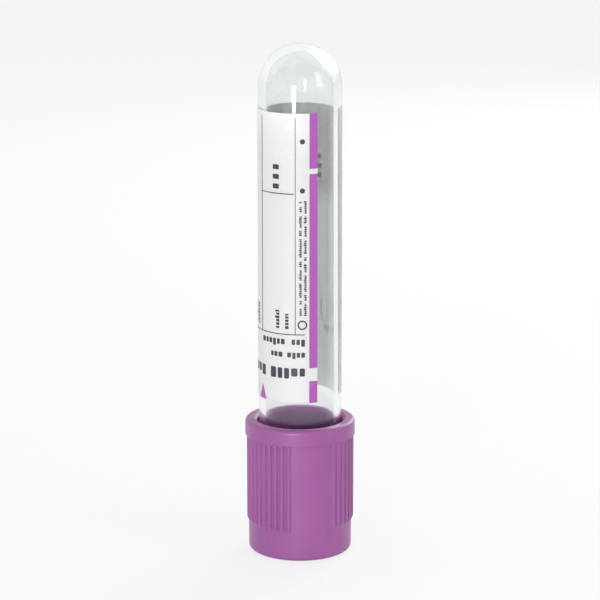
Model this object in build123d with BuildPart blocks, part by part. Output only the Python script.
from build123d import *
import math
import os

# Blood collection tube, 13 x 75 mm, with a two-piece safety closure. It can't stand on its round
# end, and it rolls when it lies down, so it stands upside down, on the flat top of its closure.
# "Station" is the distance along the tube's axis from the tip of the round end, which is the
# highest point, and "turn" is the angle round that axis, from the front, -Y, towards -X.

os.makedirs("parts", exist_ok=True)

# Tube: clear PET, moulded in one piece
tube_length = 75.0
tube_diameter = 13.0
tube_wall = 1.0
bottom_wall = 1.3
mouth_flare = 0.05  # the outer wall opens by this much, on the radius, inside the closure
rim_round = 0.3

# Stopper: butyl rubber, its plug in the tube's mouth and its flange on the rim
plug_length = 7.5
plug_clearance = 0.03  # radial, so that the plug slides without cutting the bore
plug_lead_in = 0.8
plug_recess_depth = 4.0
plug_recess_wall = 1.9
seat_spare = 2.5  # plain bore left below the plug
flange_thickness = 2.9
flange_overhang = 0.65  # beyond the tube's outer wall, where the shield lifts it
flange_round = 0.3
well_radius = 3.0
well_depth = 2.6
well_round = 0.6

# Shield: polyethylene, the purple outer cap
shield_height = 21.5
closure_rise = 6.0  # top of the shield above the tube's rim
top_plate = 1.6
port_radius = 4.2  # the hole that the needle goes through
port_round = 0.3
port_lip = 0.2  # how far the top plate reaches over the stopper's boss
seat_gap = 0.1  # axial play between the stopper and the shield
pocket_clearance = 0.1  # radial, round the stopper's flange
pocket_wall = 0.9
grip_ring_wall = 0.8
grip_ring_clearance = 0.2
skirt_clearance = 0.3  # radial, round the tube's mouth
shield_draft = 0.1  # the wall's outer radius grows by this much down to the collar
top_round = 0.8
collar_height = 2.6
collar_proud = 0.17  # beyond the crests of the ribs
collar_round = 0.6
collar_edge_round = 0.15
skirt_chamfer = 0.4

# Grip: groups of fine upright ribs with plain panels between them
rib_groups = 3
ribs_per_group = 10
rib_pitch = 7.5  # degrees
rib_radius = 0.38
rib_root = 0.1  # the rib's centre lies this far inside the wall at the collar
rib_sink = 0.3  # the ribs run this far into the collar
rib_start = 3.9  # below the top of the shield
rib_run_out = 1.6
panel_turn = -13.5  # middle of the panel beside the label's first edge

# Label: paper, wrapped most of the way round and leaving a clear window
label_thickness = 0.1
label_gap = 4.0  # below the closure
label_foot = 10.0  # station of its lower edge
label_turn = -24.0  # its first edge
label_wrap = 300.0  # degrees
ink_thickness = 0.03

# Print on the label, as plain bars and shapes in place of words. "Across" is measured round the
# label from its first edge, and "down" from its top edge.
stripe_width = 1.3
stripe_breaks = [(3.5, 5.6), (36.2, 37.0)]  # from, to, down the stripe
fill_mark_across = 9.8
fill_mark_width = 2.0
fill_mark_height = 2.4
print_margin = 0.7  # bare paper at the label's last edge and at its foot
text_start = 2.0
header_rule_down = 10.9
rule_width = 0.14
word_gap = 0.8
header_rows = [  # down, height, widths of the words from the left
    (3.9, 1.7, [6.2, 4.0, 8.6]),
    (7.1, 1.0, [2.8, 2.2]),
    (9.1, 1.1, [2.4, 4.6]),
]
volume_words = [1.8, 1.4]  # the last row's words at the label's far side
volume_start = 28.6
column_rules = [9.8, 14.6, 19.6, 24.9, 29.8]
column_words = [2.4, 3.4, 2.9, 3.7, 2.2, 3.1]  # how far each column's two words run down
column_word_width = 0.75
column_word_inset = 1.1
box_down = 33.0
box_columns = [(3.6, 9.8), (24.9, 29.8)]
box_digit_width = 1.1
small_rows = [1.75, 2.5]  # across, the two lines of small print beside the stripe
small_row_width = 0.42
small_row_start = 14.0
small_row_end = 32.0
small_words = [1.9, 0.9, 2.6, 1.3, 0.6, 2.2, 1.6, 1.0, 2.9, 0.8]
small_word_gap = 0.5
side_rule_across = 3.45
side_rule_width = 0.09
ring_across = 2.4
ring_down = 12.5
ring_radius = 0.75
ring_line = 0.22
dot_downs = [33.6, 41.2]
dot_radius = 0.4

# Additive: a sprayed film on the lower wall
film_thickness = 0.05
film_top = 24.0

# Fits and places that follow from the sizes above
tube_radius = tube_diameter / 2
bore_radius = tube_radius - tube_wall
foot_radius = tube_radius - bottom_wall
seat_foot = tube_length - plug_length - seat_spare
plug_radius = bore_radius - plug_clearance
flange_radius = tube_radius + flange_overhang
flange_top = tube_length + flange_thickness
shield_top = tube_length + closure_rise
shield_foot = shield_top - shield_height
plate_under = shield_top - top_plate
boss_top = plate_under - seat_gap
boss_radius = port_radius + port_lip
ring_inner = boss_radius + grip_ring_clearance
ring_outer = ring_inner + grip_ring_wall
pocket_radius = flange_radius + pocket_clearance
skirt_radius = tube_radius + mouth_flare + skirt_clearance
ledge = tube_length - seat_gap
wall_radius_top = pocket_radius + pocket_wall
wall_radius_foot = wall_radius_top + shield_draft
rib_circle = wall_radius_foot - rib_root
crest_radius = rib_circle + rib_radius
collar_radius = crest_radius + collar_proud
collar_top = shield_foot + collar_height
label_radius = tube_radius + label_thickness
label_top = shield_foot - label_gap
label_height = label_top - label_foot
flare_foot = (label_top + shield_foot) / 2

# The stand: the axis runs straight down from the tip of the round end to the closure's top
tip = Vector(0, 0, shield_top)
axis_way = Vector(0, 0, -1)
front_way = Vector(0, -1, 0)
side_way = axis_way.cross(front_way)
tube_axis = Axis(tip, axis_way)


def outward(turn):
    """The direction away from the tube's axis at this turn."""
    angle = math.radians(turn)
    return front_way * math.cos(angle) + side_way * math.sin(angle)


def along(turn=0.0):
    """Plane through the axis: its x is the radius and its y the station."""
    return Plane(origin=tip, x_dir=outward(turn), z_dir=outward(turn).cross(axis_way))


def square_to_axis(station):
    """Plane across the tube at a station: angles in it are turns."""
    return Plane(origin=tip + axis_way * station, x_dir=front_way, z_dir=axis_way)


def facing(turn):
    """Plane seen square on from outside at this turn: its y is the station."""
    return Plane(origin=tip, x_dir=axis_way.cross(outward(turn)), z_dir=outward(turn))


def round_corner(section, radius, corner):
    """Rounds the corner of a section that lies nearest to a point."""
    fillet(section.vertices().sort_by_distance(corner)[0], radius)


# Tube
with BuildPart() as tube:
    with BuildSketch(along()) as section:
        with BuildLine():
            Line((0, bottom_wall), (0, 0))
            CenterArc((0, tube_radius), tube_radius, -90, 90)
            Polyline(
                (tube_radius, tube_radius),
                (tube_radius, flare_foot),
                (tube_radius + mouth_flare, tube_length),
                (bore_radius, tube_length),
                (bore_radius, seat_foot),
                (foot_radius, tube_radius),
            )
            CenterArc((0, tube_radius), foot_radius, 0, -90)
        make_face()
        round_corner(section, rim_round, (tube_radius + mouth_flare, tube_length))
        round_corner(section, rim_round, (bore_radius, tube_length))
    revolve(axis=tube_axis)

# Additive film, inside the round end and up the wall
film_slope = (bore_radius - foot_radius) / (seat_foot - tube_radius)
film_top_radius = foot_radius + film_slope * (film_top - tube_radius)
with BuildPart() as additive_film:
    with BuildSketch(along()):
        with BuildLine():
            Line((0, bottom_wall + film_thickness), (0, bottom_wall))
            CenterArc((0, tube_radius), foot_radius, -90, 90)
            Polyline(
                (foot_radius, tube_radius),
                (film_top_radius, film_top),
                (film_top_radius - film_thickness, film_top),
                (foot_radius - film_thickness, tube_radius),
            )
            CenterArc((0, tube_radius), foot_radius - film_thickness, 0, -90)
        make_face()
    revolve(axis=tube_axis)

# Stopper
with BuildPart() as stopper:
    with BuildSketch(along()) as section:
        recess_radius = plug_radius - plug_recess_wall
        plug_foot = tube_length - plug_length
        with BuildLine():
            Polyline(
                (0, plug_foot + plug_recess_depth),
                (recess_radius / 2, plug_foot + plug_recess_depth),
                (recess_radius, plug_foot),
                (plug_radius, plug_foot),
                (plug_radius, tube_length),
                (flange_radius, tube_length),
                (flange_radius, flange_top),
                (boss_radius, flange_top),
                (boss_radius, boss_top),
                (well_radius, boss_top),
                (well_radius, boss_top - well_depth),
                (0, boss_top - well_depth),
                close=True,
            )
        make_face()
        chamfer(section.vertices().sort_by_distance((plug_radius, plug_foot))[0], plug_lead_in)
        round_corner(section, flange_round, (flange_radius, tube_length))
        round_corner(section, flange_round, (flange_radius, flange_top))
        round_corner(section, flange_round, (boss_radius, boss_top))
        round_corner(section, flange_round, (well_radius, boss_top))
        round_corner(section, well_round, (well_radius, boss_top - well_depth))
    revolve(axis=tube_axis)

# One rib, at turn 0: a round bar whose upper end runs out into the wall
rib_foot = collar_top - rib_sink
rib_top = shield_top - rib_start
with BuildPart() as rib:
    with BuildSketch(square_to_axis(rib_foot)):
        with Locations((rib_circle, 0)):
            Circle(rib_radius)
    extrude(amount=rib_top - rib_foot)
    with BuildSketch(along()):
        with BuildLine():
            Polyline(
                (rib_circle - rib_radius, rib_top),
                (0, rib_top),
                (0, rib_foot),
                (crest_radius, rib_foot),
                (crest_radius, rib_top - rib_run_out),
                close=True,
            )
        make_face()
    revolve(axis=tube_axis, mode=Mode.INTERSECT)

group_angle = 360 / rib_groups
group_span = (ribs_per_group - 1) * rib_pitch
rib_turns = [
    panel_turn + (group + 0.5) * group_angle - group_span / 2 + place * rib_pitch
    for group in range(rib_groups)
    for place in range(ribs_per_group)
]

# Shield
with BuildPart() as shield:
    with BuildSketch(along()) as section:
        with BuildLine():
            Polyline(
                (skirt_radius, shield_foot),
                (collar_radius, shield_foot),
                (collar_radius, collar_top),
                (wall_radius_foot, collar_top),
                (wall_radius_top, shield_top),
                (port_radius, shield_top),
                (port_radius, plate_under),
                (ring_inner, plate_under),
                (ring_inner, flange_top + seat_gap),
                (ring_outer, flange_top + seat_gap),
                (ring_outer, plate_under),
                (pocket_radius, plate_under),
                (pocket_radius, ledge),
                (skirt_radius, ledge),
                close=True,
            )
        make_face()
        chamfer(section.vertices().sort_by_distance((skirt_radius, shield_foot))[0], skirt_chamfer)
        round_corner(section, collar_round, (collar_radius, shield_foot))
        round_corner(section, collar_edge_round, (collar_radius, collar_top))
        round_corner(section, top_round, (wall_radius_top, shield_top))
        round_corner(section, port_round, (port_radius, shield_top))
    revolve(axis=tube_axis)
    add([rib.part.rotate(tube_axis, turn) for turn in rib_turns])

# Label
with BuildPart() as label:
    with BuildSketch(along(label_turn)):
        with Locations(((tube_radius + label_radius) / 2, (label_top + label_foot) / 2)):
            Rectangle(label_thickness, label_height)
    revolve(axis=tube_axis, revolution_arc=label_wrap)


# Ink on the label: a shell of the ink's thickness, cut to shape, lies flush on the paper
ink_radius = label_radius + ink_thickness
last_edge = math.radians(label_wrap) * label_radius


def round_label(across):
    """Turns a length round the label into an angle."""
    return math.degrees(across / label_radius)


def field(across, down, width, height):
    """An upright rectangle of ink, from its left edge and its top edge."""
    with BuildSketch(along(label_turn + round_label(across))) as block:
        with Locations(((label_radius + ink_radius) / 2, label_top - down - height / 2)):
            Rectangle(ink_thickness, height)
    revolve(block.sketch, axis=tube_axis, revolution_arc=round_label(width))


def ink_shell():
    """The hollow cylinder that holds all the ink, for cutting other shapes out of it."""
    with BuildSketch(along()) as wall:
        with Locations(((label_radius + ink_radius) / 2, (label_top + label_foot) / 2)):
            Rectangle(ink_thickness, label_height)
    revolve(wall.sketch, axis=tube_axis, mode=Mode.INTERSECT)


# The fill mark, a triangle that hangs from the label's top edge
with BuildPart() as fill_mark:
    with BuildSketch(facing(label_turn + round_label(fill_mark_across))):
        Polygon(
            (-fill_mark_width / 2, label_top),
            (0, label_top - fill_mark_height),
            (fill_mark_width / 2, label_top),
            align=None,
        )
    extrude(amount=2 * label_radius)
    ink_shell()

# A ring and dots beside the stripe
with BuildPart() as round_marks:
    with BuildSketch(facing(label_turn + round_label(ring_across))):
        with Locations((0, label_top - ring_down)):
            Circle(ring_radius)
            Circle(ring_radius - ring_line, mode=Mode.SUBTRACT)
        with Locations([(0, label_top - down) for down in dot_downs]):
            Circle(dot_radius)
    extrude(amount=2 * label_radius)
    ink_shell()

with BuildPart() as violet_print:
    stripe_ends = [0] + [end for gap in stripe_breaks for end in gap] + [label_height]
    for start, end in zip(stripe_ends[::2], stripe_ends[1::2]):
        field(0, start, stripe_width, end - start)
    add(fill_mark.part)

with BuildPart() as black_print:
    for down, height, words in header_rows:
        across = text_start
        for width in words:
            field(across, down, width, height)
            across += width + word_gap
    across = volume_start
    for width in volume_words:
        field(across, down, width, height)
        across += width + word_gap

    rules_foot = label_height - print_margin
    field(text_start, header_rule_down, last_edge - print_margin - text_start, rule_width)
    below_header = header_rule_down + rule_width
    for rule in column_rules:
        field(rule, below_header, rule_width, rules_foot - below_header)
    field(side_rule_across, below_header, side_rule_width, rules_foot - below_header)

    column_starts = [side_rule_across] + column_rules
    for column, across in enumerate(column_starts):
        for word in range(2):
            length = column_words[(column + 2 * word) % len(column_words)]
            place = across + column_word_inset + word * (column_word_width + word_gap)
            field(place, below_header + word_gap, column_word_width, length)

    for left, right in box_columns:
        field(left + rule_width, box_down, right - left - rule_width, rule_width)
        for digit in range(3):
            digit_across = (left + right - box_digit_width) / 2
            digit_down = box_down + word_gap + digit * 2 * column_word_width
            field(digit_across, digit_down, box_digit_width, column_word_width)

    for row, across in enumerate(small_rows):
        down = small_row_start
        word = 3 * row
        while down < small_row_end:
            length = min(small_words[word % len(small_words)], small_row_end - down)
            field(across, down, small_row_width, length)
            down += length + small_word_gap
            word += 1
    add(round_marks.part)

pieces = {
    "tube": tube,
    "additive_film": additive_film,
    "stopper": stopper,
    "shield": shield,
    "label": label,
    "label_violet_print": violet_print,
    "label_black_print": black_print,
}
for name, piece in pieces.items():
    piece.part.label = name
    export_step(piece.part, f"parts/{name}.step")
    box = piece.part.bounding_box()
    print(name, len(piece.part.solids()), round(piece.part.volume, 2), box.min, box.max)
